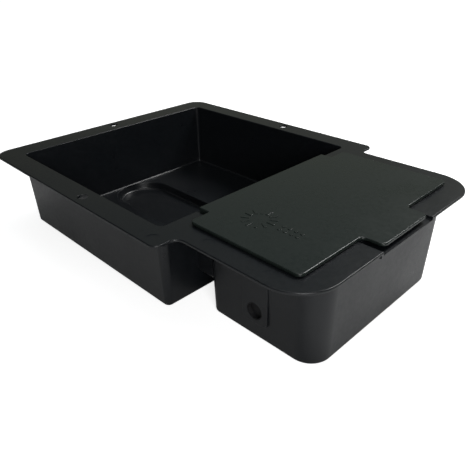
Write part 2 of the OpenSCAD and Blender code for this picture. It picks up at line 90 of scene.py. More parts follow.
class TroughSizes(bpy.types.PropertyGroup):
    """Sizes of the moulded tub."""

    wall: length("Wall", "Wall thickness of the moulding", 0.004)
    flange: length("Flange", "Thickness of the flange", 0.004)
    edge: length("Edge radius", "Rounding of the flange's edges and lips", 0.0017)
    tank_flange: length("Float flange", "Length of the narrower flange", 0.210)
    notch: length("Step", "Depth of the step in the flange's outline", 0.037)
    end_corner: length("End corner", "Corner radius at the basin end", 0.030)
    tank_flange_corner: length("Float corner", "Corner radius at the float end", 0.060)
    notch_corner: length("Step corner", "Corner radius at the step", 0.012)
    end_border: length("End border", "Flange width at the basin end", 0.045)
    side_border: length("Side border", "Flange width beside the basin", 0.039)
    basin_depth: length("Basin depth", "Depth of the basin floor", 0.131)
    basin_corner: length("Basin corner", "Inner corner radius of the basin", 0.009)
    basin_foot: length("Basin fillet", "Fillet round the basin floor", 0.004)
    sump: length("Sump width", "Width of the obround sump", 0.116)
    sump_gap: length("Sump gap", "Gap from the sump's ends to the basin's walls", 0.004)
    tank_gap: length("Wall gap", "Gap between the basin's and the compartment's walls", 0.026)
    tank_end_border: length("Far border", "Flange width at the float end", 0.020)
    tank_side_border: length("Near border", "Flange width beside the compartment", 0.090)
    tank_corner: length("Far corner", "Corner radius at the compartment's far end", 0.038)
    tank_near_corner: length("Near corner", "Corner radius at its basin end", 0.018)
    tank_foot: length("Compartment fillet", "Fillet round the compartment floor", 0.005)
    shelf: length("Shelf", "Width of the shelf under the lid's far edge", 0.020)
    channel_depth: length("Channel depth", "Depth of the water channel", 0.100)
    channel_inset: length("Channel inset", "Distance to the compartment's side walls", 0.006)
    recess_width: length("Finger recess", "Width of the recess under the tab", 0.126)
    recess_depth: length("Recess depth", "Depth of the recess under the tab", 0.005)
    fixing_hole: length("Fixing hole", "Diameter of the holes in the flange", 0.016)
    fixing_inset: length("Hole inset", "Distance of the holes from the flange edge", 0.017)
    fixing_run: length("Hole run", "Distance of the side holes from the basin end", 0.290)
    channel_corner: length("Channel corner", "Corner radius of the channel's floor", 0.010)
    inlet_pad: length("Inlet pad", "Width of the flat pads round the inlets", 0.046)
    pad_below: length("Pad below", "How far the pads reach below the inlet", 0.0195)
    pad_corner: length("Pad corner", "Radius of the pads' lower corners", 0.008)
    hinge_boss: length("Hinge boss", "Width of the hinge bosses", 0.016)
    hinge_boss_length: length("Boss length", "Length of the hinge bosses", 0.007)
    drain: length("Drain hole", "Diameter of the drain hole", 0.036)
    draft: bpy.props.FloatProperty(
        name="Draft", description="Slope of the walls", default=math.radians(1.8),
        subtype="ANGLE"
    )


class LidSizes(bpy.types.PropertyGroup):
    """Sizes of the lid."""

    plate: length("Plate", "Thickness of the plate", 0.0042)
    edge: length("Edge radius", "Rounding of the plate's top edge", 0.0018)
    corner: length("Corner", "Corner radius of the plate", 0.009)
    tab: length("Tab width", "Width of the lifting tab", 0.112)
    tab_length: length("Tab length", "How far the tab stands out", 0.032)
    tongue: length("Tongue length", "How far the tongue stands out over the channel", 0.021)
    relief: length("Relief", "Height of the raised relief", 0.0008)


class TroughColours(bpy.types.PropertyGroup):
    """Colours of the materials."""

    tub: colour("Tub", "Black moulded polyethylene", (0.0048, 0.0058, 0.0072))
    lid: colour("Lid", "Black moulded polyethylene of the lid", (0.0105, 0.0150, 0.0132))
    rubber: colour("Rubber", "Black rubber of plugs and washers", (0.0035, 0.0035, 0.004))
    brass: colour("Brass", "Cast and turned brass", (0.55, 0.37, 0.12))
    steel: colour("Steel", "Stainless steel", (0.56, 0.57, 0.58))
    acetal: colour("Acetal", "White acetal of the piston and nozzle", (0.72, 0.72, 0.68))
    float_shell: colour("Float", "Orange polyethylene of the float", (0.62, 0.12, 0.008))
    floor: colour("Floor", "Studio floor", (0.80, 0.80, 0.80))


# ---------------------------------------------------------------- materials


def new_material(name):
    """An empty node material and its node tree."""
    material = bpy.data.materials.new(name)
    material.use_nodes = True
    tree = material.node_tree
    tree.nodes.clear()
    return material, tree


def add_node(tree, kind, **values):
    """A node with some of its inputs or settings set."""
    node = tree.nodes.new(kind)
    for key, value in values.items():
        if key in node.inputs:
            node.inputs[key].default_value = value
        else:
            setattr(node, key, value)
    return node


def link(tree, source, target):
    tree.links.new(source, target)


def noise(tree, coordinates, scale, detail=3.0, roughness=0.5):
    """Noise on the given coordinates."""
    node = add_node(tree, "ShaderNodeTexNoise")
    node.inputs["Scale"].default_value = scale
    node.inputs["Detail"].default_value = detail
    node.inputs["Roughness"].default_value = roughness
    link(tree, coordinates, node.inputs["Vector"])
    return node.outputs["Fac"]


def spread(tree, value, low, high):
    """Maps noise from its usual range to low..high."""
    node = add_node(tree, "ShaderNodeMapRange")
    node.inputs["From Min"].default_value = 0.3
    node.inputs["From Max"].default_value = 0.7
    node.inputs["To Min"].default_value = low
    node.inputs["To Max"].default_value = high
    link(tree, value, node.inputs["Value"])
    return node.outputs["Result"]


def stretched(tree, coordinates, scale):
    """Coordinates scaled differently along each axis."""
    node = add_node(tree, "ShaderNodeMapping")
    node.inputs["Scale"].default_value = scale
    link(tree, coordinates, node.inputs["Vector"])
    return node.outputs["Vector"]


def tinted(tree, base, value, low, high):
    """The base colour scaled by a value spread over low..high."""
    mix = add_node(tree, "ShaderNodeMix", data_type="RGBA")
    for socket, factor in (("A", low), ("B", high)):
        shade = tuple(min(1.0, c * factor) for c in base)
        next(s for s in mix.inputs if s.name == socket and s.type == "RGBA").default_value = (
            *shade, 1.0)
    link(tree, spread(tree, value, 0.0, 1.0), mix.inputs["Factor"])
    return next(s for s in mix.outputs if s.type == "RGBA")


def add_bump(tree, shader, heights):
    """Chains bumps, given as (height, strength, distance), into the shader's normal."""
    normal = None
    for height, strength, distance in heights:
        bump = add_node(tree, "ShaderNodeBump")
        bump.inputs["Strength"].default_value = strength
        bump.inputs["Distance"].default_value = distance
        link(tree, height, bump.inputs["Height"])
        if normal:
            link(tree, normal, bump.inputs["Normal"])
        normal = bump.outputs["Normal"]
    link(tree, normal, shader.inputs["Normal"])


def surface(name, base, metallic=0.0, specular=0.5):
    """A material with a principled shader and object coordinates."""
    material, tree = new_material(name)
    output = add_node(tree, "ShaderNodeOutputMaterial")
    shader = add_node(tree, "ShaderNodeBsdfPrincipled")
    shader.inputs["Base Color"].default_value = (*base, 1.0)
    shader.inputs["Metallic"].default_value = metallic
    shader.inputs["Specular IOR Level"].default_value = specular
    link(tree, shader.outputs["BSDF"], output.inputs["Surface"])
    coordinates = add_node(tree, "ShaderNodeTexCoord").outputs["Object"]
    return material, tree, shader, coordinates


def moulded_plastic(name, base, specular, rough, grain, cloud):
    """Moulded polyethylene: fine spark-eroded grain, cloudy gloss and faint flow marks."""
    material, tree, shader, place = surface(name, base, specular=specular)
    broad = noise(tree, place, 14.0, 4.0, 0.55)
    mottle = noise(tree, place, 160.0, 3.0, 0.6)
    fine = noise(tree, place, 1500.0, 2.0, 0.5)
    flow = noise(tree, stretched(tree, place, (9.0, 60.0, 60.0)), 3.0, 3.0, 0.6)
    link(tree, tinted(tree, base, mottle, 1.0 - cloud, 1.0 + cloud), shader.inputs["Base Color"])
    sum_node = add_node(tree, "ShaderNodeMath", operation="ADD")
    link(tree, spread(tree, broad, rough - 0.05, rough + 0.03), sum_node.inputs[0])
    link(tree, spread(tree, mottle, -0.03, 0.05), sum_node.inputs[1])
    link(tree, sum_node.outputs[0], shader.inputs["Roughness"])
    add_bump(tree, shader, [
        (flow, 0.05, 0.0006),
        (mottle, 0.10 * grain, 0.0004),
        (fine, 0.22 * grain, 0.00012),
    ])
    return material


def rubber(name, base):
    """Matt moulded rubber with a fine dusty bloom."""
    material, tree, shader, place = surface(name, base, specular=0.35)
    bloom = noise(tree, place, 220.0, 4.0, 0.6)
    fine = noise(tree, place, 2400.0, 2.0, 0.5)
    link(tree, tinted(tree, base, bloom, 0.8, 2.0), shader.inputs["Base Color"])
    link(tree, spread(tree, bloom, 0.62, 0.82), shader.inputs["Roughness"])
    add_bump(tree, shader, [(fine, 0.25, 0.00015)])
    return material


def turned_metal(name, base, rough, tarnish):
    """Machined metal: fine tool lines, tarnish in patches and small pits."""
    material, tree, shader, place = surface(name, base, metallic=1.0)
    patches = noise(tree, place, 60.0, 5.0, 0.6)
    lines = noise(tree, stretched(tree, place, (1.0, 30.0, 1.0)), 160.0, 2.0, 0.5)
    pits = noise(tree, place, 900.0, 2.0, 0.5)
    link(tree, tinted(tree, base, patches, tarnish, 1.0), shader.inputs["Base Color"])
    link(tree, spread(tree, patches, rough + 0.12, rough), shader.inputs["Roughness"])
    add_bump(tree, shader, [(lines, 0.10, 0.0001), (pits, 0.08, 0.0001)])
    return material


def smooth_plastic(name, base, rough):
    """Smooth moulded plastic with slight waviness and dust."""
    material, tree, shader, place = surface(name, base, specular=0.5)
    dust = noise(tree, place, 90.0, 4.0, 0.6)
    wave = noise(tree, place, 35.0, 2.0, 0.5)
    link(tree, tinted(tree, base, dust, 0.86, 1.04), shader.inputs["Base Color"])
    link(tree, spread(tree, dust, rough, rough + 0.14), shader.inputs["Roughness"])
    add_bump(tree, shader, [(wave, 0.12, 0.0008)])
    return material


def give(material, *names):
    """Gives CAD nodes a material."""
    for name in names:
        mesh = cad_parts[name].data
        mesh.materials.clear()
        mesh.materials.append(material)


# ---------------------------------------------------------------- mesh work


def mesh_object(name, shape):
    """A new object from a bmesh, which is freed."""
    mesh = bpy.data.meshes.new(name)
    shape.to_mesh(mesh)
    shape.free()
    piece = bpy.data.objects.new(name, mesh)
    bpy.context.scene.collection.objects.link(piece)
    return piece


def ring(corners, grow, z, arc_steps):
    """Points at height z along an outline of (x, y, radius) corners, grown outwards by grow."""
    points = []
    count = len(corners)
    for index, (x, y, radius) in enumerate(corners):
        here = Vector((x, y, 0.0))
        before = (Vector((*corners[index - 1][:2], 0.0)) - here).normalized()
        after = (Vector((*corners[(index + 1) % count][:2], 0.0)) - here).normalized()
        convex = after.cross(before).z > 0
        centre = here + (before + after) * radius
        sweep = radius + grow if convex else radius - grow
        sweep = max(sweep, 0.00005)
        if convex and radius + grow < sweep:
            centre = here - (before + after) * (grow - sweep)
        for step in range(arc_steps + 1):
            turn = math.pi / 2 * step / arc_steps
            point = centre - (after * math.cos(turn) + before * math.sin(turn)) * sweep
            points.append((point.x, point.y, z))
    return points


def levels(z0, z1, foot=0.0, lean=0.0, edge=0.0, lip=0.0, over=0.0):
    """(grow, z) pairs of a wall from z0 to z1, leaning outwards on its way up.

    foot rounds the lower edge and edge the upper one; lip flares the top of a cutter, and
    over carries it past z1.
    """
    quarter = [math.pi / 2 * k / ROUND_STEPS for k in range(ROUND_STEPS + 1)]
    pairs = []
    if foot > 0:
        for turn in reversed(quarter):
            z = z0 + foot * (1 - math.sin(turn))
            pairs.append((-lean * (z1 - z) - foot * (1 - math.cos(turn)), z))
    else:
        pairs.append((-lean * (z1 - z0), z0))
    if edge > 0:
        for turn in quarter:
            z = z1 - edge * (1 - math.sin(turn))
            pairs.append((-lean * (z1 - z) - edge * (1 - math.cos(turn)), z))
    elif lip > 0:
        for turn in quarter:
            z = z1 - lip * (1 - math.sin(turn))
            pairs.append((-lean * (z1 - z) + lip * (1 - math.cos(turn)), z + TINY))
    else:
        pairs.append((0.0, z1))
    if over > 0:
        pairs.append((pairs[-1][0], z1 + over))
    return pairs


def loft(corners, pairs, arc_steps=8, place=None):
    """A solid through an outline's rings, one for each (grow, z) pair, from the bottom up."""
    shape = bmesh.new()
    rings = [[shape.verts.new(point) for point in ring(corners, grow, z, arc_steps)]
             for grow, z in pairs]
    count = len(rings[0])
    for low, high in zip(rings, rings[1:]):
        for index in range(count):
            other = (index + 1) % count
            shape.faces.new((low[index], low[other], high[other], high[index]))
    shape.faces.new(list(reversed(rings[0])))
    shape.faces.new(rings[-1])
    bmesh.ops.remove_doubles(shape, verts=list(shape.verts), dist=0.000002)
    if place:
        bmesh.ops.transform(shape, matrix=place, verts=list(shape.verts))
    bmesh.ops.recalc_face_normals(shape, faces=list(shape.faces))
    return mesh_object("loft", shape)


def box_corners(x0, x1, half, r0, r1):
    """Corners of a rectangle about Y = 0, with radius r0 at its low X end and r1 at the other."""
    return [(x0, -half, r0), (x1, -half, r1), (x1, half, r1), (x0, half, r0)]


def mirrored(front):
    """A closed outline from its front half's corners."""
    return front + [(x, -y, r) for x, y, r in reversed(front)]


def rod(centre, axis, radius, start, end, steps=40, end_radius=None):
    """A cylinder or cone along an axis, from start to end along it."""
    shape = bmesh.new()
    bmesh.ops.create_cone(
        shape, cap_ends=True, segments=steps, radius1=radius,
        radius2=radius if end_radius is None else end_radius, depth=end - start
    )
    turn = Vector(axis).to_track_quat("Z", "Y").to_matrix().to_4x4()
    place = Matrix.Translation(Vector(centre) + Vector(axis) * (start + end) / 2)
    bmesh.ops.transform(shape, matrix=place @ turn, verts=list(shape.verts))
    return mesh_object("rod", shape)


def combine(base, tools, operation):
    """Adds tools to base or cuts them from it, one by one, and removes them."""
    for tool in tools:
        step = base.modifiers.new("combine", "BOOLEAN")
        step.operation = operation
        step.solver = "EXACT"
        step.object = tool
        depsgraph = bpy.context.evaluated_depsgraph_get()
        result = bpy.data.meshes.new_from_object(base.evaluated_get(depsgraph))
        base.modifiers.clear()
        spent = base.data
        base.data = result
        bpy.data.meshes.remove(spent)
        used = tool.data
        bpy.data.objects.remove(tool)
        bpy.data.meshes.remove(used)
    return base


def finish_mesh(piece, material, angle=35.0):
    """Smooth shading with sharp creases and flat faces kept flat."""
    mesh = piece.data
    mesh.materials.clear()
    mesh.materials.append(material)
    mesh.polygons.foreach_set("use_smooth", [True] * len(mesh.polygons))
    mesh.set_sharp_from_angle(angle=math.radians(angle))
    level = piece.modifiers.new("flat_faces", "WEIGHTED_NORMAL")
    level.keep_sharp = True
    level.weight = 100


def place_piece(piece, name, body, slot, *nodes):
    """Names a piece, ties it to its body and hides its CAD nodes; slot is not used."""
    piece.name = name
    piece.data.name = name
    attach(piece, body)
    if nodes:
        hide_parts(*nodes)


# ---------------------------------------------------------------- tub


class TubPlan:
    """Places of the tub's walls, worked out from its sizes."""

    def __init__(self, s):
        self.top = TUB_HIGH.z
        self.x_end = TUB_LOW.x
        self.x_far = TUB_HIGH.x
        self.half = TUB_HIGH.y
        self.slope = math.tan(s.draft)
        self.step_x = self.x_far - s.tank_flange
        self.tank_x0 = self.step_x - 0.008
        self.tank_x1 = self.x_far - s.tank_end_border
        self.tank_half = self.half - s.tank_side_border
        self.basin_x0 = self.x_end + s.end_border
        self.basin_x1 = self.tank_x0 - s.tank_gap - s.wall
        self.basin_half = self.half - s.side_border
        self.basin_z = self.top - s.basin_depth
        self.open_x0 = self.tank_x0 + s.wall
        self.open_x1 = self.tank_x1 - s.wall - s.shelf
        self.open_half = self.tank_half - s.wall
        self.channel_half = self.open_half - s.channel_inset - s.wall
        self.channel_z = self.top - s.channel_depth
        self.recess_x = self.open_x1 + 0.007
        self.inlet_x = (SHANK_LOW.x + SHANK_HIGH.x) / 2
        self.inlet_z = (SHANK_LOW.z + SHANK_HIGH.z) / 2
        self.pad_face = SHANK_LOW.y
        self.seat_face = node_box("inner_washer")[1].y
        plug_low, plug_high = node_box("drain_plug")
        self.drain_x = (plug_low.x + plug_high.x) / 2
        stub_low, stub_high = node_box("lid")
        self.hinge_z = stub_low.z + 0.007
        self.hinge_x = self.basin_x1 + 0.010


def flange_plate(s, p):
    """The flange with its stepped outline."""
    narrow = p.half - s.notch
    outline = mirrored([
        (p.x_end, -p.half, s.end_corner),
        (p.step_x, -p.half, s.notch_corner),
        (p.step_x, -narrow, s.notch_corner),
        (p.x_far, -narrow, s.tank_flange_corner),
    ])
    return loft(outline, levels(p.top - s.flange, p.top, foot=s.edge / 2, edge=s.edge), 16)


def upright(outline, x, half, low, thick, side, edge):
    """A plate standing on edge whose outer face lies at |Y| = half, from (X, Z) corners."""
    place = Matrix(((1, 0, 0, x), (0, 0, side, 0), (0, 1, 0, low), (0, 0, 0, 1)))
    return loft(outline, levels(half - thick, half, edge=edge), 8, place)


def inlet_pads(s, p):
    """Flat upright pads round the two inlets, with rounded lower corners."""
    low = p.inlet_z - s.pad_below
    high = p.top - s.flange / 2 - low
    reach = s.inlet_pad / 2
    outline = [(-reach, 0.0, s.pad_corner), (reach, 0.0, s.pad_corner),
               (reach, high, TINY), (-reach, high, TINY)]
    return [upright(outline, p.inlet_x, p.pad_face, low, 0.010, side, 0.0008)
            for side in (-1, 1)]


def channel(s, p, grow, top):
    """The water channel's shape, grown by a wall."""
    x0 = p.basin_x1 - 0.008
    x1 = p.open_x0 + 0.008
    half = p.channel_half + grow
    low = p.channel_z - grow
    outline = [(-half, 0.0, s.channel_corner + grow), (half, 0.0, s.channel_corner + grow),
               (half, top - low, TINY), (-half, top - low, TINY)]
    place = Matrix(((0, 0, 1, 0), (1, 0, 0, 0), (0, 1, 0, low), (0, 0, 0, 1)))
    return loft(outline, [(0.0, x0), (0.0, x1)], 10, place)


def hinge_bosses(s, p):
    """Bosses on the channel's walls, joined to the flange above them."""
    parts = []
    reach = s.hinge_boss / 2
    high = p.top - s.flange / 2 - p.hinge_z + reach
    outline = [(-reach, 0.0, reach - TINY), (reach, 0.0, reach - TINY),
               (reach, high, TINY), (-reach, high, TINY)]
    for side in (-1, 1):
        parts.append(upright(outline, p.hinge_x, p.channel_half + s.hinge_boss_length,
                             p.hinge_z - reach, s.hinge_boss_length, side, 0.0006))
    return parts


def tub_outside(s, p):
    """Everything that the tub adds before its hollows are cut."""
    mid = p.top - s.flange / 2
    r = s.basin_corner + s.wall
    sump_r = s.sump / 2 + s.wall
    return [
        loft(box_corners(p.basin_x0 - s.wall, p.basin_x1 + s.wall, p.basin_half + s.wall, r, r),
             levels(p.basin_z - s.wall, mid, foot=s.basin_foot, lean=p.slope), 10),
        loft(box_corners(p.tank_x0, p.tank_x1, p.tank_half, s.tank_near_corner, s.tank_corner),
             levels(0.0, mid - 0.0001, foot=s.tank_foot, lean=p.slope), 16),
        channel(s, p, s.wall, mid + 0.0001),
        loft(box_corners(p.recess_x - s.wall, p.x_far - TINY, s.recess_width / 2 + s.wall,
                         0.003, TINY),
             levels(p.top - s.recess_depth - s.flange, mid - 0.0002, foot=0.001), 4),
        *inlet_pads(s, p),
        loft(box_corners(p.basin_x0 + s.sump_gap - s.wall, p.basin_x1 - s.sump_gap + s.wall,
                         sump_r, sump_r - TINY, sump_r - TINY),
             levels(0.0, p.basin_z, foot=0.002, lean=s.wall / p.basin_z), 24),
        *hinge_bosses(s, p),
    ]


def tank_hollow(s, p):
    """The compartment's inside, without the recess and the seats round the inlets."""
    hollow = loft(
        box_corners(p.open_x0, p.tank_x1 - s.wall, p.open_half, s.tank_near_corner - s.wall,
                    s.tank_corner - s.wall),
        levels(s.wall, p.top - s.flange, foot=s.tank_foot - s.wall, lean=p.slope), 16)
    kept = [loft(
        box_corners(p.recess_x - s.wall, p.x_far + 0.01, s.recess_width / 2 + s.wall, 0.003,
                    TINY),
        levels(p.top - s.recess_depth - s.flange, p.top + 0.01, foot=0.001), 4)]
    for side in (-1, 1):
        kept.append(rod(
            (p.inlet_x, 0, p.inlet_z), (0, side, 0), s.inlet_pad / 2, p.seat_face,
            p.tank_half, 48))
    return combine(hollow, kept, "DIFFERENCE")


def tub_hollows(s, p):
    """Everything that is cut from the tub."""
    over = 0.01
    sump_r = s.sump / 2
    lip = s.edge
    sump_lean = s.wall / (p.basin_z - s.wall)
    parts = [
        loft(box_corners(p.basin_x0, p.basin_x1, p.basin_half, s.basin_corner, s.basin_corner),
             levels(p.basin_z, p.top, foot=s.basin_foot, lean=p.slope, lip=lip, over=over), 10),
        loft(box_corners(p.basin_x0 + s.sump_gap, p.basin_x1 - s.sump_gap, sump_r,
                         sump_r - TINY, sump_r - TINY),
             levels(s.wall, p.basin_z, foot=0.004, lean=sump_lean, lip=0.0015, over=0.0005), 24),
        tank_hollow(s, p),
        loft(box_corners(p.open_x0, p.open_x1, p.open_half, 0.014, 0.014),
             levels(p.top - s.flange - 0.001, p.top, lip=lip, over=over), 10),
        channel(s, p, 0.0, p.top + over),
        loft(box_corners(p.basin_x1 - 0.008, p.open_x0 + 0.008, p.channel_half, TINY, TINY),
             levels(p.top - 0.003, p.top, lip=lip, over=over), 2),
        loft(box_corners(p.recess_x, p.x_far + 0.01, s.recess_width / 2, 0.002, TINY),
             levels(p.top - s.recess_depth, p.top, foot=0.001, lip=0.001, over=over), 5),
        rod((p.drain_x, 0, 0), (0, 0, 1), s.drain / 2, -0.001, s.wall + 0.001, 48),
    ]
    hole_places = [(p.x_end + s.fixing_run, side * (p.half - s.fixing_inset)) for side in (-1, 1)]
    hole_places.append((p.x_end + s.fixing_inset, 0.0))
    hole_r = s.fixing_hole / 2
    for x, y in hole_places:
        parts.append(loft(
            [(x - hole_r, y - hole_r, hole_r - TINY), (x + hole_r, y - hole_r, hole_r - TINY),
             (x + hole_r, y + hole_r, hole_r - TINY), (x - hole_r, y + hole_r, hole_r - TINY)],
            levels(p.top - s.flange - 0.001, p.top, lip=0.0006, over=over), 10))
    for offset, from_front, diameter in ((-0.022, 0.0145, 0.021), (0.039, 0.055, 0.021),
                                         (0.145, 0.052, 0.028)):
        parts.append(rod(
            (p.step_x + offset, from_front - p.half, p.top), (0, 0, 1), diameter / 2 - 0.0012,
            -0.0008, 0.0008, 48, diameter / 2 + 0.0012))
    for side in (-1, 1):
        parts.append(rod(
            (p.inlet_x, 0, p.inlet_z), (0, side, 0), 0.0135, p.seat_face - 0.001,
            p.pad_face + 0.001, 48))
        parts.append(rod(
            (p.hinge_x, 0, p.hinge_z), (0, side, 0), 0.0041, p.channel_half - 0.001,
            p.channel_half + 0.008, 24))
    return parts


class TROUGH_OT_tub(bpy.types.Operator):
    """Moulded tub: flange, basin, sump, channel and float compartment in one piece"""

    bl_idname = "trough.tub"
    bl_label = "Tub"

    def execute(self, context):
        s = context.scene.trough_sizes
        p = TubPlan(s)
        tub = combine(flange_plate(s, p), tub_outside(s, p), "UNION")
        tub = combine(tub, tub_hollows(s, p), "DIFFERENCE")
        material = moulded_plastic(
            "tub_plastic", context.scene.trough_colours.tub, 0.42, 0.34, 1.0, 0.14)
        finish_mesh(tub, material)
        place_piece(tub, "tub_moulding", TROUGH_BODY, "tub_plastic", "tub")
        return {"FINISHED"}


# ---------------------------------------------------------------- lid


def lid_outline(s, x0, x1, half, tongue_half):
    """Corners of the lid plate: tongue on the left, tab on the right."""
    return mirrored([
        (x0 - s.tongue, -tongue_half, 0.002),
        (x0, -tongue_half, 0.0015),
        (x0, -half, s.corner),
        (x1, -half, s.corner),
        (x1, -s.tab / 2, s.corner - 0.001),
        (x1 + s.tab_length, -s.tab / 2, s.corner),
    ])


def frame_rib(x0, x1, half, corner, width, z0, z1, edge):
    """A closed rectangular rib."""
    rib = loft(box_corners(x0, x1, half, corner, corner), levels(z0, z1, foot=edge), 6)
    inner = max(corner - width, 0.001)
    hole = loft(box_corners(x0 + width, x1 - width, half - width, inner, inner),
                [(0.0, z0 - 0.001), (0.0, z1 + 0.001)], 6)
    return combine(rib, [hole], "DIFFERENCE")


def lid_relief(s, x, y, z):
    """A ring of short raised bars and two rows of round pips."""
    parts = []
    bar = [(0.014, -0.002, 0.0004), (0.026, -0.002, 0.0004), (0.026, 0.002, 0.0004),
           (0.014, 0.002, 0.0004)]
    for index in range(12):
        turn = Matrix.Rotation(index * math.pi / 6, 4, "Z")
        place = Matrix.Translation((x, y, z)) @ turn
        parts.append(loft(bar, levels(-0.0001, s.relief, edge=s.relief * 0.6), 2, place))
    pip = 0.003 - TINY
    disc = [(-0.003, -0.003, pip), (0.003, -0.003, pip), (0.003, 0.003, pip),
            (-0.003, 0.003, pip)]
    for column in range(4):
        for row in range(2):
            place = Matrix.Translation((x + 0.038 + 0.010 * column, y - 0.004 + 0.010 * row, z))
            parts.append(loft(disc, levels(-0.0001, s.relief, edge=s.relief * 0.6), 5, place))
    return parts


class TROUGH_OT_lid(bpy.types.Operator):
    """Lid with its tongue, tab, locating rib, hinge stubs and raised relief"""

    bl_idname = "trough.lid"
    bl_label = "Lid"

    def execute(self, context):
        s = context.scene.lid_sizes
        p = TubPlan(context.scene.trough_sizes)
        top = LID_HIGH.z - s.relief
        low = top - s.plate
        x0 = p.tank_x0 - 0.008
        x1 = p.open_x1 + 0.008
        half = LID_HIGH.y
        tongue_half = p.channel_half - 0.003
        lid = loft(lid_outline(s, x0, x1, half, tongue_half),
                   levels(low, top, foot=s.edge / 3, edge=s.edge), 8)
        parts = [
            frame_rib(p.open_x0 + 0.003, p.open_x1 - 0.003, p.open_half - 0.003, 0.011, 0.003,
                      p.top - 0.007, low + 0.001, 0.0008),
            frame_rib(x0 + 0.003, x1 - 0.003, half - 0.003, 0.006, 0.003,
                      p.top + 0.0003, low + 0.001, 0.0003),
        ]
        reach = 0.007
        lug = [(-reach, 0.0, reach - TINY), (reach, 0.0, reach - TINY),
               (reach, low + 0.001 - p.hinge_z + reach, TINY),
               (-reach, low + 0.001 - p.hinge_z + reach, TINY)]
        for side in (-1, 1):
            parts.append(upright(lug, p.hinge_x, tongue_half, p.hinge_z - reach, 0.005, side,
                                 0.0004))
            parts.append(rod((p.hinge_x, 0, p.hinge_z), (0, side, 0), 0.004,
                             tongue_half - 0.001, p.channel_half + 0.007, 32))
        parts += lid_relief(s, x0 + 0.065, -half + 0.069, top)
        lid = combine(lid, parts, "UNION")
        material = moulded_plastic(
            "lid_plastic", context.scene.trough_colours.lid, 0.42, 0.30, 0.45, 0.08)
        finish_mesh(lid, material)
        place_piece(lid, "lid_moulding", LID_BODY, "lid_plastic", "lid")
        return {"FINISHED"}


# ---------------------------------------------------------------- small parts


class TROUGH_OT_plugs(bpy.types.Operator):
    """Rubber plugs and washers"""

    bl_idname = "trough.plugs"
    bl_label = "Plugs and washers"

    def execute(self, context):
        black = rubber("rubber", context.scene.trough_colours.rubber)
        give(black, "blanking_plug", "drain_plug", "inner_washer", "outer_washer", "piston_seal")
        return {"FINISHED"}


class TROUGH_OT_valve(bpy.types.Operator):
    """Brass float valve with its nut, lever, piston, nozzle and strainer"""

    bl_idname = "trough.valve"
    bl_label = "Float valve"

    def execute(self, context):
        colours = context.scene.trough_colours
        brass = turned_metal("brass", colours.brass, 0.26, 0.55)
        steel = turned_metal("steel", colours.steel, 0.22, 0.8)
        acetal = smooth_plastic("acetal", colours.acetal, 0.35)
        give(brass, "valve_body", "lock_nut", "lever_arm")
        give(steel, "inlet_strainer", "pivot_pin", "split_pin", "rod_clamp_screw", "float_rod",
             "float_nut", "float_washer")
        give(acetal, "inlet_nozzle", "piston")
        return {"FINISHED"}


class TROUGH_OT_float(bpy.types.Operator):
    """Hollow float"""

    bl_idname = "trough.float"
    bl_label = "Float"

    def execute(self, context):
        shell = smooth_plastic("float_plastic", context.scene.trough_colours.float_shell, 0.38)
        give(shell, "float")
        return {"FINISHED"}


# ---------------------------------------------------------------- stage


def camera_matrix(place, yaw, pitch, roll):
    """Camera turned by yaw (0 looks along +Y, 90 along -X), looking down by pitch."""
    forward = Vector((
        -math.sin(yaw) * math.cos(pitch), math.cos(yaw) * math.cos(pitch), -math.sin(pitch)))
    right = Vector((math.cos(yaw), math.sin(yaw), 0.0))
    up = right.cross(forward)
    side = right * math.cos(roll) + up * math.sin(roll)
    top = up * math.cos(roll) - right * math.sin(roll)
    turned = Matrix((side, top, -forward)).transposed().to_4x4()
    return Matrix.Translation(place) @ turned


def soft_box(name, place, target, size, watts):
    """A square soft light aimed at a point."""
    lamp = bpy.data.lights.new(name, "AREA")
    lamp.shape = "RECTANGLE"
    lamp.size, lamp.size_y = size
    lamp.energy = watts
    holder = bpy.data.objects.new(name, lamp)
    bpy.context.scene.collection.objects.link(holder)
    aim = Vector(target) - Vector(place)
    holder.rotation_euler = aim.to_track_quat("-Z", "Y").to_euler()
    holder.location = place
    return holder


def floor_material(base, near, far):
    """Pale studio floor with a painted glow that only the camera sees: weaker near the object, so
    the floor is painted darker round it, and turning white away from it.
    """
    material, tree = new_material("studio_floor")
    output = add_node(tree, "ShaderNodeOutputMaterial")
    diffuse = add_node(tree, "ShaderNodeBsdfDiffuse")
    diffuse.inputs["Color"].default_value = (*base, 1.0)
    glow = add_node(tree, "ShaderNodeEmission")
    glow.inputs["Color"].default_value = (1.0, 1.0, 1.0, 1.0)
    place = add_node(tree, "ShaderNodeTexCoord").outputs["Object"]
    # painted light: the camera-only glow grows with distance from the object, leaving painted
    # shade near it
    distance = add_node(tree, "ShaderNodeVectorMath", operation="LENGTH")
    link(tree, place, distance.inputs[0])
    ramp = add_node(tree, "ShaderNodeMapRange", interpolation_type="SMOOTHSTEP")
    ramp.inputs["From Min"].default_value = 0.4
    ramp.inputs["From Max"].default_value = 1.5
    ramp.inputs["To Min"].default_value = near
    ramp.inputs["To Max"].default_value = far
    link(tree, distance.outputs["Value"], ramp.inputs["Value"])
    path = add_node(tree, "ShaderNodeLightPath")
    strength = add_node(tree, "ShaderNodeMath", operation="MULTIPLY")
    link(tree, path.outputs["Is Camera Ray"], strength.inputs[0])
    link(tree, ramp.outputs["Result"], strength.inputs[1])
    link(tree, strength.outputs[0], glow.inputs["Strength"])
    both = add_node(tree, "ShaderNodeAddShader")
    link(tree, diffuse.outputs["BSDF"], both.inputs[0])
    link(tree, glow.outputs["Emission"], both.inputs[1])
    link(tree, both.outputs["Shader"], output.inputs["Surface"])
    return material


